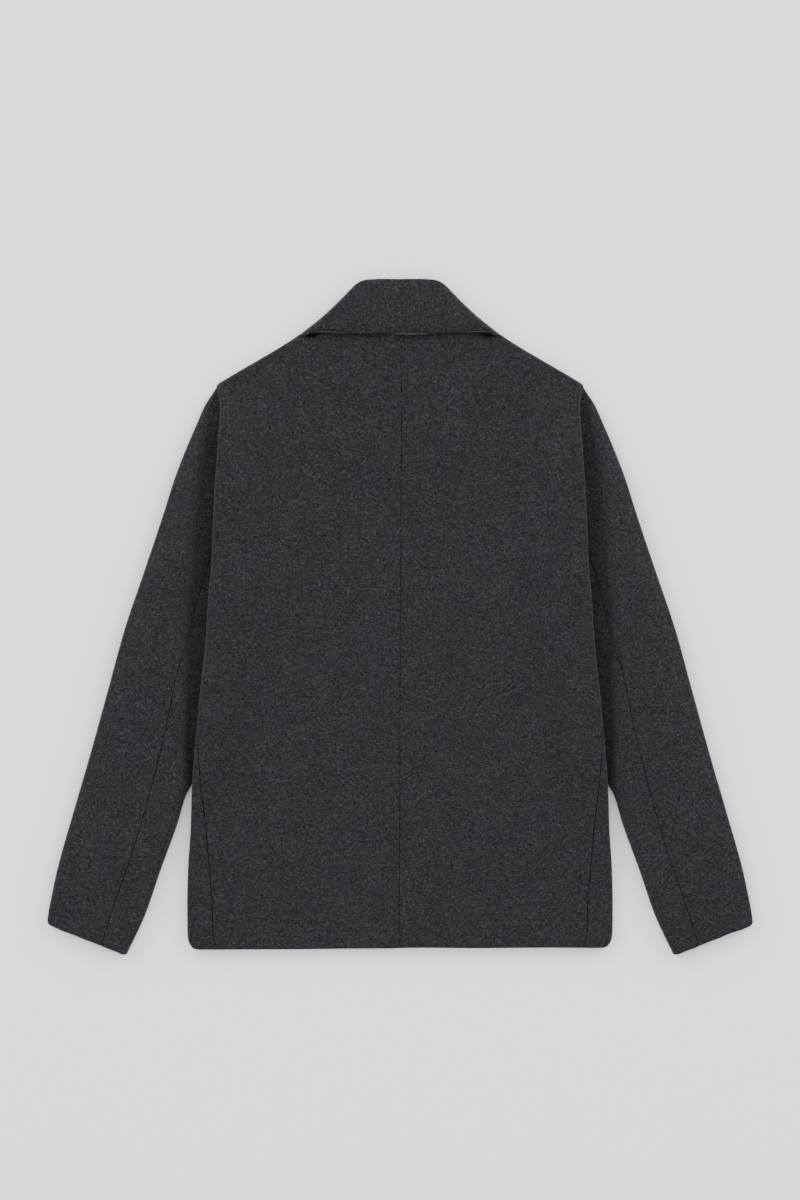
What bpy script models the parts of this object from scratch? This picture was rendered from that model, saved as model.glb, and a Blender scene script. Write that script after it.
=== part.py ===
"""Charcoal wool jacket with a turned-down collar, laid out flat on its front.

Lengths are in millimetres until the meshes are made. X runs across the back, Y from the hem to the collar
and Z up from the surface that the jacket lies on. A piece is worked out on the +X side, where X is its
distance from the middle of the back, and the left one is its mirror image.
"""

import bisect
import math

import bpy

MM = 0.001

# Cloth and the clearances between its pieces
CLOTH = 2.5
COLLAR_CLOTH = 1.5
SEAM_GAP = 0.3
LOFT = 6.35  # from the middle of the front's cloth up to the middle of the back's
ROLL = LOFT / 2  # radius of the soft fold at the body's sides
FRONT_OVERLAP = 20.0
OVERLAP_LIFT = 3.1
HIDDEN_GAP = 0.8  # along seams that turn round a fold or lie underneath

# Sleeves: loft between the middles of the two layers
SLEEVE_LOFT = 4.2  # where the body's side lies on the sleeve
SLEEVE_CROWN = 2.0  # further loft where the sleeve lies free
CROWN_WIDTH = 20.0

# The front lies over the collar and over the sleeve's inner margin
COLLAR_LIFT = 3.9
SLEEVE_RAMP = 48.0
SLEEVE_MARGIN = 12.0
COLLAR_RAMP = 64.0
COLLAR_MARGIN = 22.0

# Collar: how far each layer lies above or below the middle of the collar
COLLAR_MIDDLE = 8.35
UPPER_FALL, UPPER_STAND = 7.6, 1.5
UNDER_FALL, UNDER_STAND = 5.7, 3.5

# Shoulders: where the neck seam gives way to the shoulder seam
NECK_POINT = 76.0
SHOULDER_START = 22.0
NECK_HEM = 3.0
SHOULDER_SLANT = 1.15  # a sloping edge is this much deeper along Y than square to itself
BACK_SHOULDER_Y, FRONT_SHOULDER_Y = 266.0, 262.0
FRONT_EDGE_MARGIN, OVERLAP_FADE = 4.0, 30.0

CHARCOAL = (0.031, 0.031, 0.036, 1.0)
CHARCOAL_UNDER = (0.027, 0.027, 0.031, 1.0)
WOOL_ROUGHNESS = 0.92


class Table:
    """A short table of sizes with named columns, read along a smooth curve that never overshoots a row."""

    def __init__(self, columns, *rows):
        rows = sorted(rows)
        self.keys = [row[0] for row in rows]
        self.values = {name: [row[i] for row in rows] for i, name in enumerate(columns) if i}

    def slope(self, values, i):
        if i == 0 or i == len(values) - 1:
            return 0.0 if len(values) < 3 else self.step(values, min(i, len(values) - 2))
        before, after = self.step(values, i - 1), self.step(values, i)
        return 0.0 if before * after <= 0 else 2 * before * after / (before + after)

    def step(self, values, i):
        return (values[i + 1] - values[i]) / (self.keys[i + 1] - self.keys[i])

    def at(self, key, column):
        values = self.values[column]
        key = min(max(key, self.keys[0]), self.keys[-1])
        i = min(max(bisect.bisect_right(self.keys, key) - 1, 0), len(self.keys) - 2)
        width = self.keys[i + 1] - self.keys[i]
        t = (key - self.keys[i]) / width
        start, end = self.slope(values, i) * width, self.slope(values, i + 1) * width
        return (
            (2 * t**3 - 3 * t**2 + 1) * values[i]
            + (t**3 - 2 * t**2 + t) * start
            + (3 * t**2 - 2 * t**3) * values[i + 1]
            + (t**3 - t**2) * end
        )


# Outline of the body: half its width, how far round the side fold the side seam lies, and the seam's gap
BODY = Table(
    ("y", "edge", "seam", "gap"),
    (-381, 240, 36.0, 0.3),
    (-372, 244, 36.0, 0.3),
    (-330, 245, 35.5, 0.3),
    (-290, 244, 31.0, 0.3),
    (-245, 241, 24.4, 0.3),
    (-203, 239.5, 18.0, 0.3),
    (-165, 237, 12.0, 0.3),
    (-132, 234, 7.5, 1.7),
    (-100, 231, 4.8, 1.7),
    (-20, 223, 4.8, 1.7),
    (20, 220.5, 4.8, 1.7),
    (60, 217, 4.8, 1.7),
    (100, 215.5, 4.8, 1.7),
    (150, 213, 4.8, 1.7),
    (200, 209, 4.8, 1.7),
    (242, 205.5, 4.8, 1.7),
    (265, 209, 4.8, 1.7),
)

# Armhole: edge of the front, and the hidden inner edges of the sleeve's upper and lower layers
ARMHOLE = Table(
    ("y", "front", "sleeve_upper", "sleeve_lower"),
    (262, 193, 198, 186),
    (240, 193, 196, 183),
    (205, 193, 199, 177),
    (165, 192, 201, 174),
    (118, 190, 203, 171),
    (90, 190, 202, 171),
    (63, 190, 199, 172),
    (36, 197, 191, 175),
    (8, 222, 181.4, 181.4),
)
UNDERARM = 8.0
ARMHOLE_LOW = 36.0

# The sleeve's inner fold, hidden under the body down to about y = -191, and its outer edge
SLEEVE_INNER = Table(
    ("y", "x"),
    (-388, 314),
    (-343, 293),
    (-291, 275),
    (-240, 256.5),
    (-205, 246),
    (-191, 238.5),
    (-150, 224),
    (-96, 210),
    (-40, 194),
    (8, 178),
)
SLEEVE_OUTER = Table(
    ("y", "x"),
    (-349, 405.5),
    (-326, 401),
    (-291, 394.5),
    (-222, 375),
    (-153, 355),
    (-84, 336),
    (-15, 317),
    (53, 294),
    (122, 271),
    (157, 260),
    (191, 247),
    (226, 232),
    (243, 224),
    (260, 212.5),
)

# Rows across the sleeve run from a point on its inner side to one on its outer side
SLEEVE_ROW = Table(
    ("inner_y", "outer_y"),
    (-388, -349),
    (-325, -288),
    (-280, -245),
    (-191, -160),
    (-145, -118),
    (-60, -40),
    (8, 20),
    (63, 70),
    (118, 120),
    (205, 203),
    (262, 259),
)

# Sleeve seams: the back one shows on top, the front one lies underneath
SLEEVE_SEAM = Table(
    ("y", "back", "front"),
    (-388, 347, 336),
    (-330, 328, 308),
    (-260, 304, 281),
    (-190, 284, 258),
    (-143, 272, 245),
    (-62, 255, 222),
    (0, 238, 203),
    (30, 230, 192),
    (60, 221, 182),
    (90, 212.5, 175),
    (118, 205, 172.5),
)
BACK_SEAM_TOP, FRONT_SEAM_TOP = 118.0, 63.0
SEAM_SEARCH_STEPS, SEAM_LEAST_SHARE = 8, 0.04

# How far the front is lifted where it lies on the sleeve
FRONT_LIFT = Table(
    ("y", "lift"),
    (-280, 0),
    (-240, 1.5),
    (-203, 4.5),
    (-180, 7.2),
    (-150, 7.5),
    (36, 7.5),
    (63, 5.4),
    (90, 2.9),
    (262, 2.9),
)

# Lower outline of the part of the collar that lies under the fronts
COLLAR_BELOW = Table(
    ("x", "y"),
    (0, 250),
    (30, 250),
    (62, 224),
    (85, 268),
    (107, 312),
    (125, 345),
    (150, 390),
)

# Top of the body: the neck seam, and the shoulder from the neck point out
SHOULDER = Table(
    ("x", "back", "front"),
    (-20, 344.5, 239),
    (0, 344.5, 239),
    (20, 344.3, 266.5),
    (40, 343.4, 295),
    (60, 340.2, 322),
    (70, 337, 332),
    (90, 326.5, 326.5),
    (100, 321, 321),
    (110, 318, 318),
    (120, 317, 317),
    (132, 311.8, 311.8),
    (162, 295, 295),
    (191, 278, 278),
    (209, 266, 266),
)

# Centre-back seam: it drifts a little to the left towards the hem
CENTRE_SEAM = Table(("y", "x"), (-381, -1.0), (0, 0.5), (345, 2.3))

# Collar lines: where each turns at the neck's side, the way the side fold faces, its end at the front, and
# its y across the back at a share of the way from the middle to the side
COLLAR_LINES = Table(
    ("line", "side_x", "side_y", "out_x", "out_y", "front_x", "front_y"),
    (0, 108.2, 318.5, 0.678, 0.735, 62, 225),
    (1, 49, 375.5, 0.875, 0.485, 5.5, 289),
    (2, 68, 338.3, 0.8, 0.6, 7.5, 251.2),
)
COLLAR_BACK = Table(
    ("share", "edge", "fold", "neck"),
    (0, 323.5, 384.2, 345.2),
    (0.4, 324.8, 384.0, 344.9),
    (0.75, 326.5, 381.8, 342.8),
    (0.9, 325.0, 378.7, 340.5),
    (1, 318.5, 375.5, 338.3),
)
LINE_NAMES = ("edge", "fold", "neck")
FOLD_TURN_SIDE, FOLD_TURN_FRONT = 58, 63  # degrees that the way the fold faces turns round the neck

# Rows and columns, and the widths of the bands that take the last columns where a panel ends before its fold
BACK_EDGE_BAND, FRONT_EDGE_BAND, FRONT_LAST_BAND = 4.0, 8.0, 3.0
BODY_LEVELS = (-381, -365, -330, -290, -245, -203, -165, -132, -100, -60, -20, 8, 36, 63, 90, 118, 150)
FAN_START = 150.0
FAN_SHARES = (0.17, 0.34, 0.5, 0.67, 0.84, 1.0)
SHOULDER_TURN = (24, 48, 72)
BACK_COLUMNS, BACK_TURN_COLUMNS = 9, 3
FRONT_COLUMNS, FRONT_FOLD_COLUMNS, FRONT_TOP_COLUMNS = 10, 5, 2
SLEEVE_HEAD = (262, 240, 205, 165, 118)
SLEEVE_FAN = (90.5, 63, 35.5)
SLEEVE_LEVELS = (8, -25, -60, -100, -145, -191, -235, -280, -325, -360, -388)
TOP_COLUMNS, FOLD_COLUMNS, LOWER_COLUMNS = 6, 4, 5
UNDER_TOP_COLUMNS, UNDER_LOWER_COLUMNS = 4, 2
SCOOP_BASE = -14.0
COLLAR_BACK_SHARES = (0, 0.2, 0.4, 0.6, 0.8, 0.91, 1)
COLLAR_SIDE_STEPS, COLLAR_FRONT_STEPS = 4, 4
FALL_ROWS, TURN_ROWS, STAND_ROWS = 5, 5, 3


def smooth(t):
    """0 below 0, 1 above 1 and an even S between."""
    t = min(max(t, 0.0), 1.0)
    return t * t * (3 - 2 * t)


def mix(a, b, t):
    return a + (b - a) * t


def shares(count):
    return [i / count for i in range(count + 1)]


def stretch(*stops_and_counts):
    """Values through stops, with a number of steps between each two: stop, count, stop, count, stop."""
    values = [stops_and_counts[0]]
    for i in range(1, len(stops_and_counts), 2):
        start, count, end = stops_and_counts[i - 1 : i + 2]
        values += [mix(start, end, share) for share in shares(count)[1:]]
    return values


def sleeve_inner(y):
    """How far in the sleeve's lower layer reaches under the front."""
    return SLEEVE_INNER.at(y, "x") if y < UNDERARM else ARMHOLE.at(y, "sleeve_lower")


def front_height(x, y):
    """Middle of the front's cloth, which rests on the surface except on the sleeves and the collar."""
    x = abs(x)
    over_sleeve = smooth((x - sleeve_inner(y) + SLEEVE_MARGIN + SLEEVE_RAMP) / SLEEVE_RAMP)
    below = COLLAR_BELOW.at(x, "y") - COLLAR_MARGIN - COLLAR_RAMP
    over_collar = smooth((y - below) / COLLAR_RAMP)
    lift = max(FRONT_LIFT.at(y, "lift") * over_sleeve, COLLAR_LIFT * over_collar)
    return CLOTH / 2 + lift


def fold_start(y):
    """Where the body's side fold begins, measured from the middle."""
    return BODY.at(y, "edge") - CLOTH / 2 - ROLL


def turn_share(x):
    """0 along the neck seam and 1 along the shoulder."""
    return smooth((x - NECK_POINT) / SHOULDER_START)


def upper_rows(x, line):
    """Y and shoulder angle of each row above the chest, for the column that ends at x on the top line."""
    turn = turn_share(x)
    top = SHOULDER.at(x, line)
    base = top - mix(NECK_HEM, (ROLL + CLOTH / 2) * SHOULDER_SLANT, turn)
    rows = [(mix(FAN_START, base, share), 0.0) for share in FAN_SHARES]
    for i, degrees in enumerate(SHOULDER_TURN):
        angle = math.radians(degrees)
        flat_step = NECK_HEM * (i + 1) / len(SHOULDER_TURN)
        rows.append((base + mix(flat_step, ROLL * math.sin(angle), turn), angle * turn))
    return base, rows


def back_point(across, y, height_y, shoulder_angle):
    """A point of the back's cloth, from its distance across and the angle that the shoulder has turned."""
    start = fold_start(height_y)
    side_angle = max(0.0, across - start) / ROLL
    x = min(across, start) + ROLL * math.sin(side_angle)
    drop = ROLL * (1 - math.cos(side_angle) * math.cos(shoulder_angle))
    return x, y, front_height(min(across, start), height_y) + LOFT - drop


def front_point(across, y, height_y, shoulder_angle, extra_lift):
    """A point of the front's cloth, from its distance along the cloth: out, round the fold and back."""
    start = fold_start(height_y)
    fold = math.pi * ROLL
    if across <= start:
        rise = ROLL * (1 - math.cos(shoulder_angle))
        return across, y, front_height(across, height_y) + extra_lift + rise
    if across < start + fold:
        angle = (across - start) / ROLL
        height = front_height(start, height_y)
        return start + ROLL * math.sin(angle), y, height + ROLL * (1 - math.cos(angle))
    x = 2 * start + fold - across
    return x, y, front_height(x, height_y) + LOFT


def back_columns(y, middle):
    """Distances across the back from the centre seam to the side seam or armhole."""
    start = fold_start(y)
    end = start + math.pi * ROLL - BODY.at(y, "seam") - BODY.at(y, "gap") / 2
    main = min(start, end - BACK_EDGE_BAND)
    return stretch(middle, BACK_COLUMNS, main, BACK_TURN_COLUMNS, end)


def front_columns(y):
    """Distances along the front from its overlapping edge to the armhole or the side seam."""
    start = fold_start(y)
    if y >= ARMHOLE_LOW:
        end = ARMHOLE.at(y, "front")
    else:
        end = start + BODY.at(y, "seam") - BODY.at(y, "gap") / 2
    main = min(start, end - FRONT_EDGE_BAND)
    folded = min(start + math.pi * ROLL, end - FRONT_LAST_BAND)
    return stretch(
        -FRONT_OVERLAP, FRONT_COLUMNS, main, FRONT_FOLD_COLUMNS, folded, FRONT_TOP_COLUMNS, end
    )


def back_grid(side):
    """Rows of points from the hem to the neck and shoulder, each from the centre seam outwards."""

    def columns(y):
        middle = SEAM_GAP / 2 + side * CENTRE_SEAM.at(y, "x")
        return back_columns(min(y, BACK_SHOULDER_Y), middle)

    rows = [[back_point(across, y, y, 0.0) for across in columns(y)] for y in BODY_LEVELS]
    upper = []
    for column, across_top in enumerate(columns(BACK_SHOULDER_Y)):
        base, levels = upper_rows(across_top, "back")
        upper.append([back_point(columns(y)[column], y, min(y, base), angle) for y, angle in levels])
    return rows + [list(row) for row in zip(*upper)]


def front_grid(extra_lift):
    """Rows of points from the hem to the neck and shoulder, each from the overlapping edge outwards."""

    def point(across, y, height_y, angle):
        lift = extra_lift * (1 - smooth((across - FRONT_OVERLAP - FRONT_EDGE_MARGIN) / OVERLAP_FADE))
        return front_point(across, y, height_y, angle, lift)

    def columns(y):
        return front_columns(min(y, FRONT_SHOULDER_Y))

    rows = [[point(across, y, y, 0.0) for across in columns(y)] for y in BODY_LEVELS]
    upper = []
    for column, across_top in enumerate(columns(FRONT_SHOULDER_Y)):
        base, levels = upper_rows(across_top, "front")
        upper.append([point(columns(y)[column], y, min(y, base), angle) for y, angle in levels])
    return rows + [list(row) for row in zip(*upper)]


class SleeveRow:
    """One section across the flattened sleeve, from its inner side to its outer edge."""

    def __init__(self, inner_y):
        outer_y = SLEEVE_ROW.at(inner_y, "outer_y")
        outer = (SLEEVE_OUTER.at(outer_y, "x"), outer_y)
        self.open = inner_y > UNDERARM
        inner = (sleeve_inner(inner_y), inner_y)
        length = math.dist(inner, outer)
        self.way = ((outer[0] - inner[0]) / length, (outer[1] - inner[1]) / length)
        self.outer = self.moved(outer, -(CLOTH / 2 + self.loft(outer) / 2))
        if self.open:
            self.upper_inner = (ARMHOLE.at(inner_y, "sleeve_upper"), inner_y)
            self.lower_inner = (ARMHOLE.at(inner_y, "sleeve_lower"), inner_y)
        else:
            inside = self.moved(inner, CLOTH / 2 + self.loft(inner) / 2)
            self.upper_inner = self.lower_inner = inside

    def moved(self, point, distance):
        return point[0] + self.way[0] * distance, point[1] + self.way[1] * distance

    def loft(self, point):
        free = smooth((point[0] - BODY.at(point[1], "edge")) / CROWN_WIDTH)
        return SLEEVE_LOFT + SLEEVE_CROWN * free

    def upper(self, share):
        """A point of the upper layer, at a share of the way from the inner side to the outer one."""
        plan = [mix(a, b, share) for a, b in zip(self.upper_inner, self.outer)]
        return plan[0], plan[1], CLOTH / 2 + self.loft(plan)

    def lower(self, share):
        plan = [mix(a, b, share) for a, b in zip(self.lower_inner, self.outer)]
        return plan[0], plan[1], CLOTH / 2

    def fold(self, centre, outwards, degrees):
        """A point of the inner or outer fold, 0 degrees on top and 180 underneath."""
        radius = self.loft(centre) / 2
        angle = math.radians(degrees)
        plan = self.moved(centre, outwards * radius * math.sin(angle))
        return plan[0], plan[1], CLOTH / 2 + radius * (1 + math.cos(angle))

    def share_at(self, line, inner):
        """Share of the way across at which a seam crosses this section."""
        share = 0.0
        for _ in range(SEAM_SEARCH_STEPS):
            y = mix(inner[1], self.outer[1], share)
            share = (SLEEVE_SEAM.at(y, line) - inner[0]) / (self.outer[0] - inner[0])
        return max(share, SEAM_LEAST_SHARE)


def top_sleeve_grid():
    """Rows from the sleeve head to the cuff, each from the back seam round the outer fold."""
    rows = []
    for level in SLEEVE_HEAD + SLEEVE_FAN + SLEEVE_LEVELS:
        row = SleeveRow(level)
        back, front = 0.0, 0.0
        if level <= BACK_SEAM_TOP:
            width = math.dist(row.upper_inner, row.outer)
            back = row.share_at("back", row.upper_inner) + SEAM_GAP / 2 / width
            if level <= FRONT_SEAM_TOP:
                front = row.share_at("front", row.lower_inner) + HIDDEN_GAP / 2 / width
        points = [row.upper(mix(back, 1, s)) for s in shares(TOP_COLUMNS)]
        points += [row.fold(row.outer, 1, 180 * s) for s in shares(FOLD_COLUMNS)[1:]]
        points += [row.lower(mix(1, front, s)) for s in shares(LOWER_COLUMNS)[1:]]
        rows.append(points)
    return rows


def under_sleeve_grid():
    """Rows from the scooped top to the cuff, each from the back seam round the inner fold."""
    columns = [("upper", s) for s in shares(UNDER_TOP_COLUMNS)]
    columns += [("fold", s) for s in shares(FOLD_COLUMNS)[1:]]
    columns += [("lower", s) for s in shares(UNDER_LOWER_COLUMNS)[1:]]
    rows = []
    for level in (BACK_SEAM_TOP,) + SLEEVE_FAN + SLEEVE_LEVELS:
        rows.append([under_sleeve_point(SleeveRow(scooped(level, *c)), *c) for c in columns])
    return rows


def scooped(level, kind, share):
    """Height of a column's point: the rows near the top dip towards the inner fold, as an armhole does."""
    if level < UNDERARM:
        return level
    dip = {"upper": share, "fold": 1.0, "lower": 1 - share}[kind]
    seam_top = FRONT_SEAM_TOP if kind == "lower" else BACK_SEAM_TOP
    rise = (level - UNDERARM) / (BACK_SEAM_TOP - UNDERARM)
    return mix(mix(UNDERARM, SCOOP_BASE, dip), mix(seam_top, UNDERARM, dip), rise)


def under_sleeve_point(row, kind, share):
    if kind == "fold":
        return row.fold(row.upper_inner, -1, 180 * share)
    width = math.dist(row.upper_inner, row.outer)
    if kind == "upper":
        seam = row.share_at("back", row.upper_inner) - SEAM_GAP / 2 / width
        return row.upper(mix(seam, 0, share))
    seam = row.share_at("front", row.lower_inner) - HIDDEN_GAP / 2 / width
    return row.lower(mix(0, seam, share))


def between_lines(table, line, columns):
    """Values of a collar table's columns at a place between two of its lines, straight across."""
    low = min(int(line), 1)
    return [mix(table.at(low, c), table.at(low + 1, c), line - low) for c in columns]


def collar_point(station, share, line, spread, bulge):
    """A point of the collar: line runs from its edge over the fold to the neck, spread is the distance of
    the layer from the middle of the collar and bulge how far the fold stands out."""
    side = between_lines(COLLAR_LINES, line, ("side_x", "side_y"))
    z = COLLAR_MIDDLE + spread
    if station == "back":
        low = min(int(line), 1)
        near, far = (COLLAR_BACK.at(share, name) for name in LINE_NAMES[low : low + 2])
        plan = (side[0] * share, mix(near, far, line - low))
        turn = 0.0
    elif station == "side":
        out = between_lines(COLLAR_LINES, line, ("out_x", "out_y"))
        angle = math.pi * share
        plan = [s + o * spread * math.sin(angle) for s, o in zip(side, out)]
        z = COLLAR_MIDDLE + spread * math.cos(angle)
        turn = FOLD_TURN_SIDE * share
    else:
        front = between_lines(COLLAR_LINES, line, ("front_x", "front_y"))
        plan = [mix(s, f, share) for s, f in zip(side, front)]
        z = COLLAR_MIDDLE - spread
        turn = mix(FOLD_TURN_SIDE, FOLD_TURN_FRONT, share)
    turn = math.radians(turn)
    return plan[0] - math.sin(turn) * bulge, plan[1] + math.cos(turn) * bulge, z


def collar_section(station, share, fall, stand):
    """Points from the collar's edge over its fold to the neck seam."""
    middle, radius = (fall + stand) / 2, (fall - stand) / 2
    points = [collar_point(station, share, s, fall, 0) for s in shares(FALL_ROWS)]
    for turn in shares(TURN_ROWS)[1:]:
        angle = math.pi * turn
        spread, bulge = middle + radius * math.cos(angle), radius * math.sin(angle)
        points.append(collar_point(station, share, 1, spread, bulge))
    points += [collar_point(station, share, 1 + s, stand, 0) for s in shares(STAND_ROWS)[1:]]
    return points


def collar_grid(fall, stand):
    """Sections from the left front end round the back of the neck to the right one."""
    stations = [("back", s) for s in COLLAR_BACK_SHARES]
    stations += [("side", s) for s in shares(COLLAR_SIDE_STEPS)[1:]]
    stations += [("front", s) for s in shares(COLLAR_FRONT_STEPS)[1:]]
    half = [collar_section(station, share, fall, stand) for station, share in stations]
    mirrored = [[(-x, y, z) for x, y, z in section] for section in half[:0:-1]]
    return mirrored + half


def wool(name, colour):
    material = bpy.data.materials.new(name)
    material.use_nodes = True
    shader = material.node_tree.nodes["Principled BSDF"]
    shader.inputs["Base Color"].default_value = colour
    shader.inputs["Roughness"].default_value = WOOL_ROUGHNESS
    shader.inputs["Metallic"].default_value = 0.0
    return material


def cloth_piece(collection, name, rows, wall=CLOTH, side=1, colour=CHARCOAL):
    """Makes a piece as an open sheet through its rows of points, with the wall of its cloth around it."""
    width = len(rows[0])
    points = [(side * x * MM, y * MM, z * MM) for row in rows for x, y, z in row]
    faces = []
    for start in range(0, width * (len(rows) - 1), width):
        for a in range(start, start + width - 1):
            faces.append((a, a + 1, a + width + 1, a + width))
    mesh = bpy.data.meshes.new(name)
    mesh.from_pydata(points, [], faces)
    mesh.shade_smooth()
    mesh.materials.append(wool(name, colour))
    piece = bpy.data.objects.new(name, mesh)
    collection.objects.link(piece)
    solidify = piece.modifiers.new("Cloth", "SOLIDIFY")
    solidify.thickness = wall * MM
    solidify.offset = 0.0


def body(collection):
    for name, side, lift in (("left", -1, 0.0), ("right", 1, OVERLAP_LIFT)):
        cloth_piece(collection, f"back_{name}", back_grid(side), side=side)
        cloth_piece(collection, f"front_{name}", front_grid(lift), side=side)


def sleeves(collection):
    for name, side in (("left", -1), ("right", 1)):
        cloth_piece(collection, f"top_sleeve_{name}", top_sleeve_grid(), side=side)
        cloth_piece(collection, f"under_sleeve_{name}", under_sleeve_grid(), side=side)


def collar(collection):
    cloth_piece(collection, "collar_upper", collar_grid(UPPER_FALL, UPPER_STAND), wall=COLLAR_CLOTH)
    under = collar_grid(UNDER_FALL, UNDER_STAND)
    cloth_piece(collection, "collar_under", under, wall=COLLAR_CLOTH, colour=CHARCOAL_UNDER)


def main():
    for old in list(bpy.data.objects):
        bpy.data.objects.remove(old, do_unlink=True)
    jacket = bpy.data.collections.new("wool_jacket")
    bpy.context.scene.collection.children.link(jacket)
    body(jacket)
    sleeves(jacket)
    collar(jacket)


main()
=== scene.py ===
"""Looks of a charcoal wool jacket that lies flat, face down, seen from straight above.

Sizes are in millimetres until a mesh is placed. X is the distance from the middle of the back, Y runs from
the hem to the collar, and Z is the height above the surface that the jacket lies on.
"""

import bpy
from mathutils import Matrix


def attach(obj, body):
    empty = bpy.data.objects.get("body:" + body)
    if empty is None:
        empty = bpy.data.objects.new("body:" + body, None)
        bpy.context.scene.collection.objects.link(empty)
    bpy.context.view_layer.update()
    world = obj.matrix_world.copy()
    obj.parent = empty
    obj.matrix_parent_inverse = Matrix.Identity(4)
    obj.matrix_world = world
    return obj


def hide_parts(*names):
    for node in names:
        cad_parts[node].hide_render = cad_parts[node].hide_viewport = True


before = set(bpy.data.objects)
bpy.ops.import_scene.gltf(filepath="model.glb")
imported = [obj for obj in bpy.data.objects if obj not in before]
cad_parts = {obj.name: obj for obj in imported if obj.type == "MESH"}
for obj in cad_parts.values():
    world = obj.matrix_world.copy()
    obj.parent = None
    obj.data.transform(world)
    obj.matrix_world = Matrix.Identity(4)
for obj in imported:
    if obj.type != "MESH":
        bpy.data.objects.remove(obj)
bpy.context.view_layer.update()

import bisect
import logging
import math
from dataclasses import dataclass, field
from enum import Enum
from functools import lru_cache
from typing import Callable, Iterable, Sequence

import bmesh
import bpy
from mathutils import Matrix, Vector, noise

logging.basicConfig(level=logging.INFO, format="%(message)s")
LOG = logging.getLogger("jacket")

MM = 0.001

Point = tuple[float, float, float]
Colour = tuple[float, float, float, float]
Form = Callable[[float, float], Point]
Piece = bpy.types.Object

# Solids that the shells stand for: thickness of their cloth and loft between its layers
SOLID_CLOTH = 2.5
SOLID_LOFT = 6.35
SOLID_ROLL = math.pi * SOLID_LOFT / 2
SOLID_HALF = SOLID_LOFT / 2 + SOLID_CLOTH / 2
SLEEVE_LOFT, SLEEVE_FREE_LOFT, SLEEVE_FREE_WIDTH = 4.2, 2.0, 20.0

# Cloth as it is seen, with its edges turned under
WALL = 2.2
TURN_RADIUS = 1.15
EDGE_ROUNDING = 0.85
SEAM_GAP, CENTRE_GAP = 0.8, 0.7

# Turned-up edges: their shares of a panel's rows and of the turn, and how far the cloth goes on inside
EDGE_SHARE, FREE_SHARE, EDGE_INSIDE = 0.035, 0.35, 9.0
HEM, CUFF = -381.0, -389.0
HEM_START = HEM + TURN_RADIUS + WALL / 2
HEM_STITCH = 30.0
HEM_CORNER, HEM_CORNER_START, HEM_CORNER_RUN = 2.8, 205, 32

# The hem hangs lower at the left: sag at the right and left, where it starts, how fast it grows and how high
SAG_RIGHT, SAG_LEFT, SAG_START, SAG_RUN, SAG_HEIGHT = 0.4, 2.4, 60, 260, 110

# Y of the underarm, and the length over which the armhole above it turns into the side seam beneath it
UNDERARM, UNDERARM_RUN = 8, 40

# Distance from the middle up to which the collar covers the back
COLLAR_SIDE = 120


class Side(Enum):
    """The wearer's sides, which are also the picture's, with the sign of their X."""

    LEFT = -1
    RIGHT = 1

    @property
    def word(self) -> str:
        """The side's name as nodes have it."""
        return self.name.lower()


class Table:
    """A short table of sizes with named columns, read along a smooth curve that never overshoots a row."""

    def __init__(self, columns: Sequence[str], *rows: Sequence[float]) -> None:
        """Sorts the rows by their first column."""
        ordered = sorted(rows)
        self.keys = [row[0] for row in ordered]
        self.values = {name: [row[i] for row in ordered] for i, name in enumerate(columns) if i}

    def step(self, values: list[float], i: int) -> float:
        """Slope of the straight line between rows i and i + 1."""
        return (values[i + 1] - values[i]) / (self.keys[i + 1] - self.keys[i])

    def slope(self, values: list[float], i: int) -> float:
        """Slope of the curve at a row."""
        last = len(values) - 1
        if i in (0, last):
            return 0.0 if last < 2 else self.step(values, min(i, last - 1))
        before, after = self.step(values, i - 1), self.step(values, i)
        return 0.0 if before * after <= 0 else 2 * before * after / (before + after)

    @lru_cache(maxsize=200000)
    def at(self, key: float, column: str) -> float:
        """Reads one column.

        Args:
            key: The place in the first column, kept within its rows.
            column: The name of the column to read.

        Returns:
            The value of the smooth curve there.
        """
        values = self.values[column]
        key = min(max(key, self.keys[0]), self.keys[-1])
        i = min(max(bisect.bisect_right(self.keys, key) - 1, 0), len(self.keys) - 2)
        width = self.keys[i + 1] - self.keys[i]
        t = (key - self.keys[i]) / width
        start, end = self.slope(values, i) * width, self.slope(values, i + 1) * width
        return (
            (2 * t**3 - 3 * t**2 + 1) * values[i]
            + (t**3 - 2 * t**2 + t) * start
            + (3 * t**2 - 2 * t**3) * values[i + 1]
            + (t**3 - t**2) * end
        )


# Body: half its width, the place of the side seam round the fold, and how far its edge stands up
BODY = Table(
    ("y", "edge", "seam", "puff"),
    (-381, 236, 36, 0.4), (-377, 240.4, 36, 0.5), (-373, 242.8, 36, 0.7), (-368, 244.2, 36, 0.9),
    (-360, 244.8, 35.9, 1.2), (-330, 245, 35.5, 2), (-290, 244, 31, 3), (-245, 241, 24.4, 4),
    (-203, 239.5, 18, 4.4), (-165, 237, 12, 4.6), (-132, 234, 7.5, 5.4), (-100, 231, 4.8, 6),
    (-20, 223, 4.8, 7.4), (20, 220.5, 4.8, 8), (60, 217, 4.8, 9), (100, 215.5, 4.8, 10.2),
    (150, 213, 4.8, 10.4), (200, 209.5, 4.8, 8.6), (242, 207, 4.8, 5.2), (258, 210.2, 4.8, 3.2),
    (265, 212.8, 4.8, 2.4),
)
ARMHOLE = Table(
    ("y", "front", "sleeve_upper", "sleeve_lower"),
    (262, 193, 198, 186), (240, 193, 196, 183), (205, 193, 199, 177), (165, 192, 201, 174),
    (118, 190, 203, 171), (90, 190, 202, 171), (63, 190, 199, 172), (36, 197, 191, 175),
    (8, 222, 181.4, 181.4),
)
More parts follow.
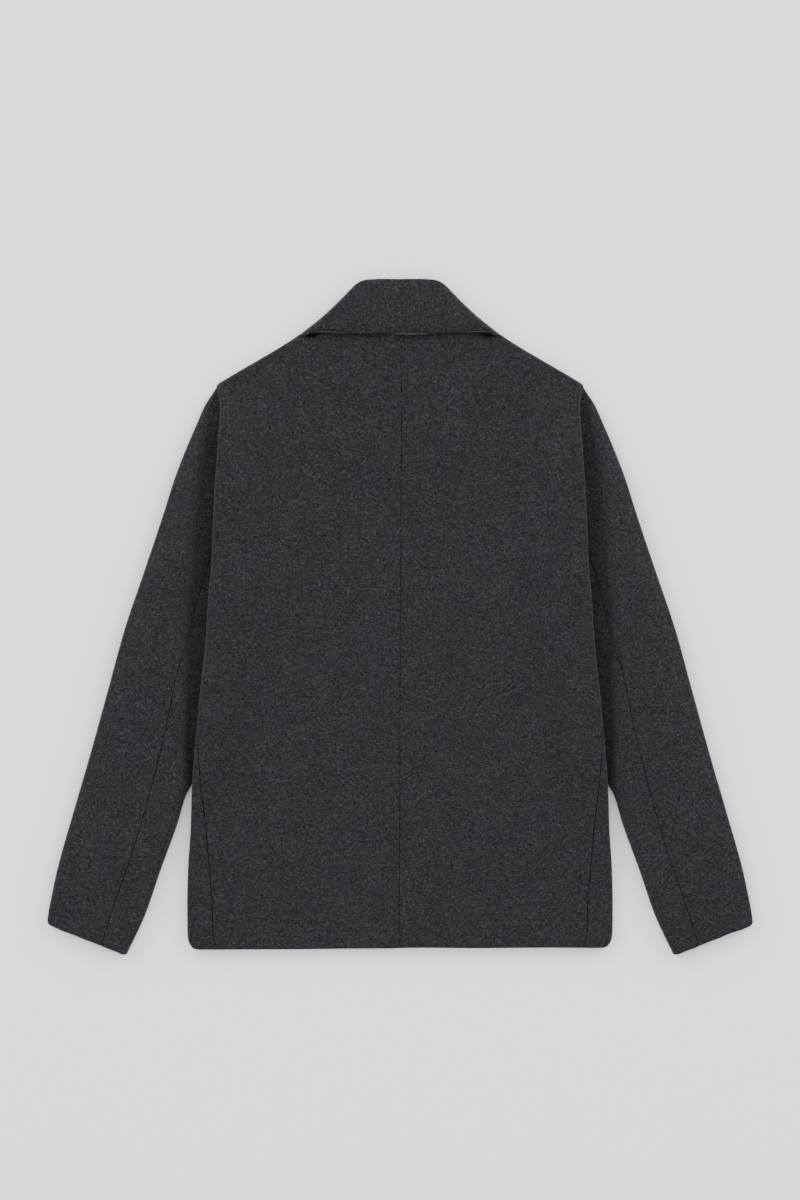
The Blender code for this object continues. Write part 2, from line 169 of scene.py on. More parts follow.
SLEEVE_INNER = Table(
    ("y", "x"),
    (-388, 314), (-343, 293), (-291, 275), (-240, 256.5), (-205, 246), (-191, 238.5), (-150, 224),
    (-96, 210), (-40, 194), (8, 178),
)
SLEEVE_OUTER = Table(
    ("y", "x"),
    (-352, 406.8), (-349, 406.4), (-326, 402), (-291, 394.5), (-222, 375), (-153, 355), (-84, 336),
    (-15, 317), (53, 294), (122, 271), (157, 260), (191, 247), (226, 232), (243, 224.4), (260, 213.4),
    (263.5, 211.4),
)
# Rows across the sleeve: the outer end's y, the crown's height and the width of the valley beside the body
SLEEVE_ROW = Table(
    ("inner_y", "outer_y", "crown", "valley"),
    (-389, -352, 2.2, 0), (-360, -322, 4.6, 0), (-325, -288, 6.4, 0), (-280, -245, 7.6, 0),
    (-191, -160, 9.2, 2), (-145, -118, 10.6, 6), (-60, -40, 12.6, 14), (8, 20, 13.4, 17),
    (63, 70, 13.2, 17), (118, 120, 12, 15), (205, 203, 7.6, 9), (264.5, 262.5, 3.2, 3),
)
SLEEVE_SEAM = Table(
    ("y", "back", "front"),
    (-388, 347, 336), (-330, 328, 308), (-260, 304, 281), (-190, 284, 258), (-143, 272, 245),
    (-62, 255, 222), (0, 238, 203), (30, 230, 192), (60, 221, 182), (90, 212.5, 175), (118, 205, 172.5),
)
FRONT_LIFT = Table(
    ("y", "lift"),
    (-280, 0), (-240, 1.5), (-203, 4.5), (-180, 7.2), (-150, 7.5), (36, 7.5), (63, 5.4), (90, 2.9),
    (262, 2.9),
)
COLLAR_BELOW = Table(
    ("x", "y"),
    (0, 250), (30, 250), (62, 224), (85, 268), (107, 312), (125, 345), (150, 390),
)
SHOULDER = Table(
    ("x", "back", "front"),
    (-20, 344.5, 239), (0, 344.5, 239), (20, 344.3, 266.5), (40, 343.4, 295), (60, 340.2, 322),
    (70, 337, 332), (90, 326.5, 326.5), (100, 321.5, 321), (110, 323.8, 321), (113.5, 325.2, 321.5),
    (116, 324, 321), (120, 321, 318.7), (132, 313.4, 312), (162, 295.4, 295), (191, 278.4, 278),
    (211, 266.4, 266),
)
CENTRE_SEAM = Table(("y", "x"), (-381, -1.0), (0, 0.5), (345, 2.3))
COLLAR_LINES = Table(
    ("line", "side_x", "side_y", "out_x", "out_y", "front_x", "front_y"),
    (0, 110.3, 322.6, 0.40, 0.30, 62, 225), (1, 49, 379.6, 0.55, 0, 5.5, 289),
    (2, 68, 338.3, 0.6, 0.45, 7.5, 251.2),
)
COLLAR_BACK = Table(
    ("share", "fold", "neck"),
    (0, 384.3, 345.2), (0.4, 384.5, 344.9), (0.75, 383.9, 342.8), (0.9, 382.2, 340.5), (1, 379.6, 338.3),
)
# The collar's lower edge in the picture's own X, and how far the under layer reaches past the upper one
COLLAR_EDGE = Table(
    ("x", "upper", "reach"),
    (-113, 328.4, 3.2), (-101, 329.3, 2.8), (-86, 329.3, 2.8), (-69, 328.3, 2.6), (-57, 326.8, 1.2),
    (-46, 325.6, -0.8), (-23, 325.5, -0.8), (-6, 327.2, 2.6), (11, 327.6, 4), (28, 326.9, 2.6),
    (42, 325.6, -0.8), (55, 326.5, 0.6), (69, 328.4, 2), (86, 329.3, 2.6), (101, 329.3, 2.8),
    (113, 328.4, 3.2),
)


def smooth(t: float) -> float:
    """0 below 0, 1 above 1 and an even S between."""
    t = min(max(t, 0.0), 1.0)
    return t * t * (3 - 2 * t)


def mix(a: float, b: float, t: float) -> float:
    """The value at share t of the way from a to b."""
    return a + (b - a) * t


def part_of(t: float, start: float, end: float) -> float:
    """How far t is between start and end, from 0 to 1."""
    return min(max((t - start) / (end - start), 0.0), 1.0)


def bulged(t: float) -> float:
    """0 at 0, 1 from 1 on and the quarter of a circle between, steep at first."""
    t = min(max(t, 0.0), 1.0)
    return math.sqrt(1 - (1 - t) ** 2)


def bell(distance: float, width: float) -> float:
    """1 at no distance, falling off evenly on both sides."""
    return math.exp(-((distance / width) ** 2))


def stops(t: float, *places: tuple[float, float]) -> float:
    """The value at t on straight lines through pairs of t and value, which sets where a grid is fine."""
    for (start, low), (end, high) in zip(places, places[1:]):
        if t <= end:
            return mix(low, high, part_of(t, start, end))
    return places[-1][1]


def clear_of_collar(x: float, y: float, start: float, run: float) -> float:
    """1 where the back shows and 0 beneath the collar, which starts at a Y, with a soft change over a run."""
    return 1 - smooth((y - start) / run) * (1 - smooth((abs(x) - COLLAR_SIDE) / run))


def sag(x: float, y: float) -> float:
    """How far the hem hangs lower than its line, most at the left in the picture's own X."""
    left = smooth((SAG_START - x) / SAG_RUN)
    return mix(SAG_RIGHT, SAG_LEFT, left) * (1 - smooth((y - HEM) / SAG_HEIGHT))


def turned_edge(t: float) -> Point:
    """Where the cloth of a turned-up hem or cuff lies.

    Args:
        t: Share of the edge's rows, from its free end inside round to the outer face.

    Returns:
        How far it lies past the start of the turn, how far inside the cloth's outer layer, and the
        sine of the turn's angle.
    """
    if t < FREE_SHARE:
        return -EDGE_INSIDE * (1 - t / FREE_SHARE), 2 * TURN_RADIUS, 0.0
    angle = math.pi * part_of(t, FREE_SHARE, 1.0)
    return TURN_RADIUS * math.sin(angle), TURN_RADIUS * (1 + math.cos(angle)), math.sin(angle)


def hem_corner(x: float, sine: float) -> float:
    """How far a point of the hem's turn draws in near the side, where the hem's corner is rounded."""
    return HEM_CORNER * sine * smooth((x - HEM_CORNER_START) / HEM_CORNER_RUN)


def wander(x: float, y: float, spacing: float, seed: float) -> float:
    """Even, repeatable unevenness from about -1 to 1, with its highs about one spacing apart."""
    return noise.noise(Vector((x / spacing, y / spacing, seed)))


@dataclass(frozen=True)
class Crease:
    """One soft trough or ridge, placed one by one.

    Attributes:
        x: Middle of the crease across the jacket.
        y: Middle of the crease along the jacket.
        degrees: The way it runs, measured from +X.
        length: Its length.
        width: Its width.
        height: How far it stands up, or, below 0, lies down.
    """

    x: float
    y: float
    degrees: float
    length: float
    width: float
    height: float

    def at(self, x: float, y: float) -> float:
        """The crease's height at a place."""
        if abs(x - self.x) + abs(y - self.y) > 1.5 * self.length + 3 * self.width:
            return 0.0
        turn = math.radians(self.degrees)
        along = (x - self.x) * math.cos(turn) + (y - self.y) * math.sin(turn)
        across = (y - self.y) * math.cos(turn) - (x - self.x) * math.sin(turn)
        if abs(along) > self.length or abs(across) > 2.2 * self.width:
            return 0.0
        window = smooth((1 - abs(along) / self.length) * 1.6)
        return self.height * window * math.exp(-((across / self.width) ** 2) * 1.6)


# Soft creases of the back and sleeves, in the picture's own X, so that the two sides differ
CREASES = [Crease(*row) for row in (
    (-123, -62, 84, 90, 17, -1), (-60, 240, 12, 80, 20, -0.9), (-150, 190, 70, 90, 24, 0.8),
    (-92, 130, 64, 110, 26, 0.7), (176, 165, 78, 110, 18, -0.8), (150, 30, 60, 90, 24, -0.8),
    (70, 60, 82, 150, 30, 0.6), (-176, -10, 110, 90, 18, 0.8), (120, -190, 96, 120, 28, 0.6),
    (-70, -240, 88, 110, 26, -0.6), (60, -300, 100, 80, 24, -0.5), (188, -120, 84, 90, 16, 0.7),
    (-280, 10, 20, 60, 16, -1.1), (-300, -70, 28, 60, 18, 0.7), (-352, -240, 16, 50, 18, -0.7),
    (286, -2, 160, 60, 16, -1), (306, -96, 152, 60, 18, 0.7), (348, -215, 166, 50, 18, -0.7),
    (-240, 175, 66, 60, 12, 0.6), (244, 160, 114, 60, 12, 0.6),
)]

# Beside the centre seam: depth (below 0 for a lip that stands up), distance from the seam and width
SEAM_LIPS = {
    Side.LEFT: ((0.6, 5.6, 1.1), (-0.3, 8.6, 2.2), (-0.25, 3.2, 1.2)),
    Side.RIGHT: ((-0.12, 7, 3),),
}


def relief(x: float, y: float, side: Side) -> float:
    """Height of the creases and of the cloth's own slight unevenness, on top of the jacket.

    Args:
        x: Distance from the middle of the back.
        y: Place along the jacket.
        side: The side that the place is on.

    Returns:
        The height to add, in millimetres.
    """
    picture_x = side.value * x
    creases = sum(crease.at(picture_x, y) for crease in CREASES)
    loose = 0.55 * wander(picture_x, y, 95, 3.1) + 0.22 * wander(picture_x, y, 34, 7.7)
    return creases + loose + 0.07 * wander(picture_x, y, 11, 1.3)


@dataclass
class PanelSheet:
    """A sheet of cloth that is shaped from a flat grid, given its wall and rounded along its edges.

    Attributes:
        name: The piece's name.
        columns: Cells across the grid.
        rows: Cells along the grid.
        wall: Thickness of the cloth in millimetres.
        side: Side of the jacket, which sets the sign of X.
    """

    name: str
    columns: int
    rows: int
    wall: float = WALL
    side: Side = Side.RIGHT

    def build(self, form: Form) -> Piece:
        """Adds the flat grid, lays its points on the form and gives it the wall of its cloth.

        Args:
            form: Gives the place of a point in millimetres from its two shares of the grid.

        Returns:
            The finished piece, at the origin.
        """
        bpy.ops.object.select_all(action="DESELECT")
        bpy.ops.mesh.primitive_grid_add(
            x_subdivisions=self.columns, y_subdivisions=self.rows, size=1.0, location=(0, 0, 0)
        )
        piece = bpy.context.active_object
        piece.name = piece.data.name = self.name
        for vertex in piece.data.vertices:
            x, y, z = form(vertex.co.x + 0.5, vertex.co.y + 0.5)
            vertex.co = (self.side.value * x * MM, y * MM, z * MM)
        self.add_wall(piece)
        piece.data.shade_smooth()
        return piece

    def add_wall(self, piece: Piece) -> None:
        """Applies the cloth's thickness and the rounding of its cut edges."""
        solidify = piece.modifiers.new("Cloth", "SOLIDIFY")
        solidify.thickness = self.wall * MM
        solidify.offset = 0.0
        bpy.ops.object.modifier_apply(modifier=solidify.name)
        bevel = piece.modifiers.new("Edges", "BEVEL")
        bevel.width = EDGE_ROUNDING * self.wall / WALL * MM
        bevel.segments = 3
        bevel.limit_method = "ANGLE"
        bevel.angle_limit = math.radians(58)
        bpy.ops.object.modifier_apply(modifier=bevel.name)


@dataclass(frozen=True)
class Ground:
    """Heights of the body's layers above the surface that it lies on."""

    collar_lift: float = 3.9
    collar_ramp: float = 64.0
    collar_margin: float = 22.0
    sleeve_ramp: float = 48.0
    sleeve_margin: float = 12.0
    edge_start: float = 85.0
    edge_run: float = 70.0
    edge_reach: float = 2.6

    def lift(self, x: float, y: float) -> float:
        """Height of the underside of the fronts, which rest on the surface but for sleeves and collar."""
        x = abs(x)
        inner = SLEEVE_INNER.at(y, "x") if y < UNDERARM else ARMHOLE.at(y, "sleeve_lower")
        over_sleeve = smooth((x - inner + self.sleeve_margin + self.sleeve_ramp) / self.sleeve_ramp)
        below = COLLAR_BELOW.at(x, "y") - self.collar_margin - self.collar_ramp
        over_collar = smooth((y - below) / self.collar_ramp)
        return max(FRONT_LIFT.at(y, "lift") * over_sleeve, self.collar_lift * over_collar)

    def puff(self, x: float, y: float) -> float:
        """How far the back stands above the solid, most along the armholes."""
        edge = BODY.at(y, "edge")
        along_edge = smooth((abs(x) - edge + self.edge_start) / self.edge_run) ** 1.3
        return BODY.at(y, "puff") * along_edge + 0.5 * clear_of_collar(x, y, 262, 40)

    def top(self, x: float, y: float) -> float:
        """Height of the upper face of the back, before its creases."""
        return self.lift(x, y) + SOLID_LOFT + SOLID_CLOTH + self.puff(x, y)

    @lru_cache(maxsize=100000)
    def roll(self, y: float) -> float:
        """Half the height of the side fold in the middle of the cloth."""
        start = BODY.at(y, "edge")
        return (self.top(start, y) - self.lift(start, y) - WALL) / 2

    @lru_cache(maxsize=100000)
    def reach(self, y: float) -> float:
        """How far the side fold, which is flatter than round, stands out from where it begins."""
        return min(self.roll(y), self.edge_reach)

    @lru_cache(maxsize=100000)
    def fold_start(self, y: float) -> float:
        """Distance from the middle at which the side fold begins."""
        return BODY.at(y, "edge") - WALL / 2 - self.reach(y)


GROUND = Ground()


@dataclass
class TopLine:
    """The neck seam and shoulder line of a body panel, and how its rows reach them."""

    column: str
    fan_start: float = 150.0
    fan_share: float = 0.72
    turn_share: float = 0.965
    neck_point: float = 76.0
    shoulder_start: float = 22.0
    slant: float = 0.95
    flat_end: float = 3.0
    turn_degrees: float = 80.0

    def place(self, across_top: float, v: float) -> Point:
        """Works out where a row lies.

        Args:
            across_top: Distance from the middle at which the column ends on the top line.
            v: Share of the way from the hem's turn to the top line.

        Returns:
            The point's y, the y at which its height is read and the angle of the shoulder's turn.
        """
        v = stops(v, (0, 0), (0.14, 0.057), (1, 1))
        turned = smooth((across_top - self.neck_point) / self.shoulder_start)
        radius = GROUND.roll(self.fan_start + 100)
        base = SHOULDER.at(across_top, self.column)
        base -= mix(self.flat_end, SOLID_HALF * self.slant, turned)
        if v <= self.fan_share:
            y = mix(HEM_START, self.fan_start, v / self.fan_share)
            return y, y, 0.0
        if v <= self.turn_share:
            y = mix(self.fan_start, base, part_of(v, self.fan_share, self.turn_share))
            return y, y, 0.0
        t = part_of(v, self.turn_share, 1.0)
        angle = math.radians(self.turn_degrees) * t
        reach = min(radius, SOLID_HALF - WALL / 2)
        return base + mix(self.flat_end * t, reach * math.sin(angle), turned), base, angle * turned


@dataclass
class Back:
    """One half of the back, from the centre seam to the armhole and side seam."""

    side: Side
    seam_band: float = 12.0
    seam_columns_share: float = 0.16
    turn_columns_share: float = 0.84
    shoulder_y: float = 265.0
    seam_gap: float = CENTRE_GAP
    sleeve_base: float = 2.9
    sleeve_room: float = 0.9
    top_line: TopLine = field(default_factory=lambda: TopLine("back"))

    def end_angle(self, y: float) -> float:
        """How far the outer edge turns down: over the sleeve seam, or down to the side seam."""
        radius, start = GROUND.roll(y), GROUND.fold_start(y)
        at_seam = math.pi * (1 - min(BODY.at(y, "seam") / SOLID_ROLL, 1.0))
        above_sleeve = self.sleeve_base + SOLID_CLOTH + SLEEVE_LOFT + WALL / 2 + self.sleeve_room
        drop = (GROUND.top(start, y) - WALL / 2 - above_sleeve) / radius
        over_sleeve = math.acos(1 - min(max(drop, 0.0), 1.5))
        return mix(at_seam, over_sleeve, smooth((y - UNDERARM) / UNDERARM_RUN))

    def across(self, u: float, y: float) -> float:
        """Distance along the cloth from the middle of the back at share u of the panel's width."""
        start, radius = GROUND.fold_start(y), GROUND.roll(y)
        middle = self.seam_gap / 2 + self.side.value * CENTRE_SEAM.at(y, "x")
        past_fold = max(BODY.at(y, "seam") - SOLID_ROLL, 0.0)
        end = start - past_fold - self.seam_gap / 2 + radius * self.end_angle(y)
        main = min(start, end - 6.0)
        if u <= self.turn_columns_share:
            fine = middle + self.seam_band
            return stops(u, (0, middle), (self.seam_columns_share, fine), (self.turn_columns_share, main))
        return mix(main, end, part_of(u, self.turn_columns_share, 1.0))

    def seam_pinch(self, across: float, y: float) -> float:
        """Depth of the furrows along the centre seam and the hem stitching."""
        from_seam = abs(across - self.side.value * CENTRE_SEAM.at(y, "x"))
        pucker = 0.16 * wander(self.side.value * 3, y, 15, 5.5)
        centre = (0.8 + pucker) * bell(from_seam, 3.6)
        for depth, place, width in SEAM_LIPS[self.side]:
            centre += depth * bell(from_seam - place, width)
        uneven = 1 + 0.5 * wander(across, 0, 22, 2.2 + self.side.value)
        return centre + 0.45 * uneven * bell(y - HEM - HEM_STITCH, 1.5)

    def armhole_ridge(self, across: float, y: float) -> float:
        """The faint ridge where the turned seam allowance lies inside the armhole."""
        inside = BODY.at(y, "edge") - across
        window = smooth((y - 40) / 60) * (1 - smooth((y - 235) / 25))
        return window * (0.5 * bell(inside - 7, 5) - 0.42 * bell(inside - 14, 2.6))

    def height(self, x: float, y: float) -> float:
        """Height of the middle of the cloth, with its creases and furrows."""
        shape = relief(x, y, self.side) * clear_of_collar(x, y, 275, 30) + self.armhole_ridge(x, y)
        return GROUND.top(x, y) - WALL / 2 + shape - self.seam_pinch(x, y)

    def form(self, u: float, v: float) -> Point:
        """Place of a point of the panel, from its shares across and along."""
        if v < EDGE_SHARE:
            return self.hem_form(u, v / EDGE_SHARE)
        top = self.across(u, self.shoulder_y)
        return self.bent(u, *self.top_line.place(top, part_of(v, EDGE_SHARE, 1.0)))

    def bent(self, u: float, y: float, height_y: float, shoulder: float) -> Point:
        """Place of a point once the side and the shoulder have turned down."""
        read_y = min(height_y, self.shoulder_y)
        across, start, radius = self.across(u, read_y), GROUND.fold_start(read_y), GROUND.roll(read_y)
        angle = max(0.0, across - start) / radius
        x, side_reach = min(across, start), GROUND.reach(read_y)
        reach = min(radius, SOLID_HALF)
        drop = radius * (1 - math.cos(angle)) + reach * (1 - math.cos(shoulder)) * math.cos(min(angle, 1.5))
        height = self.height(x, height_y) - drop
        x += side_reach * math.sin(angle)
        return x, y - sag(self.side.value * x, y), height

    def hem_form(self, u: float, t: float) -> Point:
        """Place of a point of the turned-up hem, from inside the jacket round to the hem edge."""
        wave = 0.5 * wander(self.side.value * u * 240, 0, 70, 9.1)
        x, y, z = self.bent(u, HEM_START, HEM_START, 0.0)
        beyond, turned, sine = turned_edge(t)
        return x - hem_corner(x, sine), y - beyond - wave * sine, z - turned

    def build(self) -> Piece:
        piece = PanelSheet(f"cloth_back_{self.side.word}", 96, 250, side=self.side).build(self.form)
        return declare(piece, f"back_{self.side.word}", ["front_" + self.side.word])


@dataclass
class Front:
    """One front, from its lapped edge round the body's side to the side seam on the back."""

    side: Side
    overlap: float = 20.0
    overlap_lift: float = 3.1
    lap_margin: float = 4.0
    lap_run: float = 30.0
    shoulder_y: float = 262.0
    armhole_low: float = 36.0
    seam_gap: float = SEAM_GAP
    flat_share: float = 0.74
    fold_share: float = 0.88
    top_line: TopLine = field(default_factory=lambda: TopLine("front", turn_degrees=60.0))

    def lap(self, across: float) -> float:
        """Height that the right front gains where it lies on the left one."""
        if self.side is Side.LEFT:
            return 0.0
        return self.overlap_lift * (1 - smooth((across - self.overlap - self.lap_margin) / self.lap_run))

    def bands(self, y: float) -> tuple[float, float, float]:
        """Distances along the cloth at which its flat part, its fold and the panel end."""
        start, radius = GROUND.fold_start(y), GROUND.roll(y)
        seam = BODY.at(y, "seam")
        angle = math.pi * min(seam / SOLID_ROLL, 1.0)
        past_fold = max(seam - SOLID_ROLL, 0.0)
        wrapped = start + radius * angle + past_fold - self.seam_gap / 2
        armhole = ARMHOLE.at(max(y, self.armhole_low), "front")
        end = mix(wrapped, armhole, smooth((y - UNDERARM) / (self.armhole_low - UNDERARM)))
        main = min(start, end - 8.0)
        folded = min(start + math.pi * radius, end - 3.0)
        return main, max(folded, main + 2.0), end

    def across(self, u: float, y: float) -> float:
        """Distance along the cloth from the middle of the body at share u of the panel's width."""
        main, folded, end = self.bands(y)
        if u <= self.flat_share:
            return mix(-self.overlap, main, u / self.flat_share)
        if u <= self.fold_share:
            return mix(main, folded, part_of(u, self.flat_share, self.fold_share))
        return mix(folded, end, part_of(u, self.fold_share, 1.0))

    def bent(self, u: float, y: float, height_y: float, shoulder: float, inside: float = 0.0) -> Point:
        """Place of a point, with inside the distance that it lies towards the middle of the fold."""
        read_y = min(height_y, self.shoulder_y)
        across = self.across(u, read_y)
        start, radius = GROUND.fold_start(read_y), GROUND.roll(read_y)
        low = GROUND.lift(min(across, start), height_y) + WALL / 2
        y -= sag(self.side.value * min(across, start), y)
        if across <= start:
            rise = SOLID_LOFT / 2 * (1 - math.cos(shoulder))
            return across, y, low + self.lap(across) + rise + inside
        angle = (across - start) / radius
        if angle <= math.pi:
            low = GROUND.lift(start, height_y) + WALL / 2
            shape = self.side_shape(start, y) * smooth((angle - 1.7) / 1.4)
            reach = max(GROUND.reach(read_y) - inside, 0.4)
            x = start + reach * math.sin(angle)
            return x, y, low + radius - (radius - inside) * math.cos(angle) + shape
        x = start - (across - start - math.pi * radius)
        return x, y, GROUND.top(x, height_y) - WALL / 2 + self.side_shape(x, y) - inside

    def side_shape(self, x: float, y: float) -> float:
        """Creases and the hem's furrow on the strip that shows on the back."""
        return relief(x, y, self.side) - 0.6 * bell(y - HEM - HEM_STITCH, 1.7)

    def form(self, u: float, v: float) -> Point:
        """Place of a point of the panel, from its shares across and along."""
        if v < EDGE_SHARE:
            beyond, turned, sine = turned_edge(v / EDGE_SHARE)
            x, y, z = self.bent(u, HEM_START - beyond, HEM_START, 0.0, turned)
            return x - hem_corner(x, sine), y, z
        top = self.across(u, self.shoulder_y)
        return self.bent(u, *self.top_line.place(top, part_of(v, EDGE_SHARE, 1.0)))

    def build(self) -> Piece:
        piece = PanelSheet(f"cloth_front_{self.side.word}", 84, 200, side=self.side).build(self.form)
        return declare(piece, f"front_{self.side.word}", [])


class SleeveRow:
    """One section across the flattened sleeve, from its inner side to its outer edge."""

    rise_width, outer_width, free_rise, full_valley = 15.0, 34.0, 0.6, 4
    corner, corner_width, cuff_wave, cuff_start, cuff_run = 2.8, 7.0, 1.0, 16, 14
    crease_run, least_bend = 12, 0.4

    def __init__(self, inner_y: float, side: Side, turned: float = 0.0, beyond: float = 0.0) -> None:
        """Works out the section.

        Args:
            inner_y: Y of the section's inner end.
            side: Side of the jacket.
            turned: How far the cloth lies towards the middle of the tube, as in the turned-up cuff.
            beyond: How far the section lies past its place along the sleeve.
        """
        outer_y = SLEEVE_ROW.at(inner_y, "outer_y")
        outer = (SLEEVE_OUTER.at(outer_y, "x"), outer_y)
        open_side = inner_y > UNDERARM
        inner_x = ARMHOLE.at(inner_y, "sleeve_lower") if open_side else SLEEVE_INNER.at(inner_y, "x")
        inner = (inner_x, inner_y)
        length = math.dist(inner, outer)
        self.side, self.turned, self.beyond = side, turned, beyond
        self.crown, self.valley = (SLEEVE_ROW.at(inner_y, name) for name in ("crown", "valley"))
        self.near_cuff = smooth((CUFF + self.cuff_start - inner_y) / self.cuff_run)
        self.way = ((outer[0] - inner[0]) / length, (outer[1] - inner[1]) / length)
        self.inner_end, self.outer_end = inner, outer
        self.reach = {-1: self.radius(inner), 1: self.radius(outer)}
        self.outer = self.moved(outer, -(WALL / 2 + self.radius(outer)))
        if open_side:
            self.upper_inner = (ARMHOLE.at(inner_y, "sleeve_upper"), inner_y)
            self.lower_inner = inner
        else:
            self.upper_inner = self.lower_inner = self.moved(inner, WALL / 2 + self.radius(inner))

    def moved(self, point: Sequence[float], distance: float) -> tuple[float, float]:
        """A point moved along the section."""
        return point[0] + self.way[0] * distance, point[1] + self.way[1] * distance

    def top(self, point: Sequence[float]) -> float:
        """Height of the sleeve's upper face: low beside the body and crowned between there and the fold."""
        edge = BODY.at(point[1], "edge")
        free = smooth((point[0] - edge) / SLEEVE_FREE_WIDTH)
        inner = max(edge + self.valley, self.inner_end[0])
        rise = (point[0] - inner) / self.rise_width
        rise = mix(bulged(rise), smooth(rise), min(self.valley / self.full_valley, 1.0))
        fall = bulged((self.outer_end[0] - point[0]) / self.outer_width)
        crown = self.crown * rise * fall + self.free_rise * free
        return SOLID_CLOTH + SLEEVE_LOFT + SLEEVE_FREE_LOFT * free + crown

    def radius(self, point: Sequence[float]) -> float:
        """Radius of a fold in the middle of the cloth."""
        return (self.top(point) - WALL) / 2

    def placed(self, plan: Sequence[float], z: float) -> Point:
        """The point, moved along the sleeve by the cuff's turn, rounded corners and uneven edge."""
        along = (plan[0] - self.inner_end[0]) * self.way[0] + (plan[1] - self.inner_end[1]) * self.way[1]
        from_end = min(along, math.dist(self.inner_end, self.outer_end) - along)
        short = self.corner * (1 - min(max(from_end, 0.0) / self.corner_width, 1.0)) ** 2
        short += self.cuff_wave * wander(self.side.value * along, 0, 21, 2.6)
        beyond = self.beyond - short * self.near_cuff
        return plan[0] + self.way[1] * beyond, plan[1] - self.way[0] * beyond, z

    def creases(self, point: Sequence[float]) -> float:
        """Height of the creases at a point, which fade out beside the body."""
        from_body = point[0] - BODY.at(point[1], "edge")
        return relief(point[0], point[1], self.side) * smooth(from_body / self.crease_run)

    def upper(self, share: float) -> Point:
        """A point of the upper layer, at a share of the way from the inner side to the outer one."""
        plan = [mix(a, b, share) for a, b in zip(self.upper_inner, self.outer)]
        return self.placed(plan, self.top(plan) - WALL / 2 - self.turned + self.creases(plan))

    def lower(self, share: float) -> Point:
        """A point of the lower layer, which rests on the surface."""
        plan = [mix(a, b, share) for a, b in zip(self.lower_inner, self.outer)]
        return self.placed(plan, WALL / 2 + self.turned)

    def fold(self, centre: Sequence[float], outwards: int, share: float) -> Point:
        """A point of the inner or outer fold, from on top at share 0 to underneath at share 1."""
        radius, angle = self.radius(centre), math.pi * share
        bend = radius - self.turned
        reach = max(self.reach[outwards] - self.turned, self.least_bend)
        plan = self.moved(centre, outwards * reach * math.sin(angle))
        shape = self.creases(centre) * smooth(1 - 2 * share)
        return self.placed(plan, WALL / 2 + radius + bend * math.cos(angle) + shape)

    def share_at(self, line: str, inner: Sequence[float]) -> float:
        """Share of the way across at which a seam crosses this section."""
        share = 0.0
        for _ in range(8):
            y = mix(inner[1], self.outer[1], share)
            share = (SLEEVE_SEAM.at(y, line) - inner[0]) / (self.outer[0] - inner[0])
        return max(share, 0.04)


@dataclass
class Sleeve:
    """One sleeve of two pieces, laid flat beside and partly under the body."""

    side: Side
    head: float = 264.5
    back_seam_top: float = 118.0
    front_seam_top: float = 63.0
    seam_gap: float = SEAM_GAP
    hidden_gap: float = 0.8
    top_shares: tuple[float, float] = (0.5, 0.66)
    under_shares: tuple[float, float] = (0.55, 0.78)
    seam_band: float = 9.0

    def row(self, v: float, start_y: float) -> tuple[SleeveRow, float]:
        """The section at a share of the way from the cuff's inside up to start_y, and its inner y."""
        if v < EDGE_SHARE:
            beyond, turned, _ = turned_edge(v / EDGE_SHARE)
            return SleeveRow(CUFF, self.side, turned, beyond), CUFF
        inner_y = mix(CUFF, start_y, part_of(v, EDGE_SHARE, 1.0))
        return SleeveRow(inner_y, self.side), inner_y

    def pinched(self, point: Point, from_seam: float) -> Point:
        """The point lowered along the back seam, where the cloth is drawn in."""
        x, y, z = point
        pucker = 0.14 * wander(self.side.value * 9, y, 14, 4.4)
        return x, y, z - (0.7 + pucker) * bell(from_seam, 3.4) + 0.12 * bell(from_seam - 7.5, 3)

    def top_form(self, u: float, v: float) -> Point:
        """Place of a point of the top sleeve: from the back seam over the crown to the front seam."""
        row, inner_y = self.row(v, self.head)
        width = math.dist(row.upper_inner, row.outer)
        back = front = 0.0
        if inner_y <= self.back_seam_top:
            back = row.share_at("back", row.upper_inner) + self.seam_gap / 2 / width
        if inner_y <= self.front_seam_top:
            front = row.share_at("front", row.lower_inner) + self.hidden_gap / 2 / width
        fold, under = self.top_shares
        if u <= fold:
            share = stops(u, (0, back), (0.1, back + self.seam_band / width), (fold, 1.0))
            return self.pinched(row.upper(share), (share - back) * width if back else math.inf)
        if u <= under:
            return row.fold(row.outer, 1, part_of(u, fold, under))
        return row.lower(mix(1, front, part_of(u, under, 1.0)))

    def under_form(self, u: float, v: float) -> Point:
        """Place of a point of the under sleeve: from the back seam round the inner fold."""
        fold, under = self.under_shares
        if u <= fold:
            kind, share = "upper", u / fold
        elif u <= under:
            kind, share = "fold", part_of(u, fold, under)
        else:
            kind, share = "lower", part_of(u, under, 1.0)
        dip = {"upper": share, "fold": 1.0, "lower": 1 - share}[kind]
        seam_top = self.front_seam_top if kind == "lower" else self.back_seam_top
        row, _ = self.row(v, mix(seam_top, UNDERARM, dip))
        width = math.dist(row.upper_inner, row.outer)
        if kind == "fold":
            return row.fold(row.upper_inner, -1, share)
        if kind == "upper":
            seam = row.share_at("back", row.upper_inner) - self.seam_gap / 2 / width
            place = mix(seam, 0, share)
            return self.pinched(row.upper(place), (seam - place) * width)
        seam = row.share_at("front", row.lower_inner) - self.hidden_gap / 2 / width
        return row.lower(mix(0, seam, share))

    def build(self) -> list[Piece]:
        """Builds and declares both pieces."""
        word = self.side.word
        top = PanelSheet(f"cloth_top_sleeve_{word}", 90, 200, side=self.side).build(self.top_form)
        under = PanelSheet(f"cloth_under_sleeve_{word}", 60, 160, side=self.side).build(self.under_form)
        return [
            declare(top, f"top_sleeve_{word}", []),
            declare(under, f"under_sleeve_{word}", []),
        ]


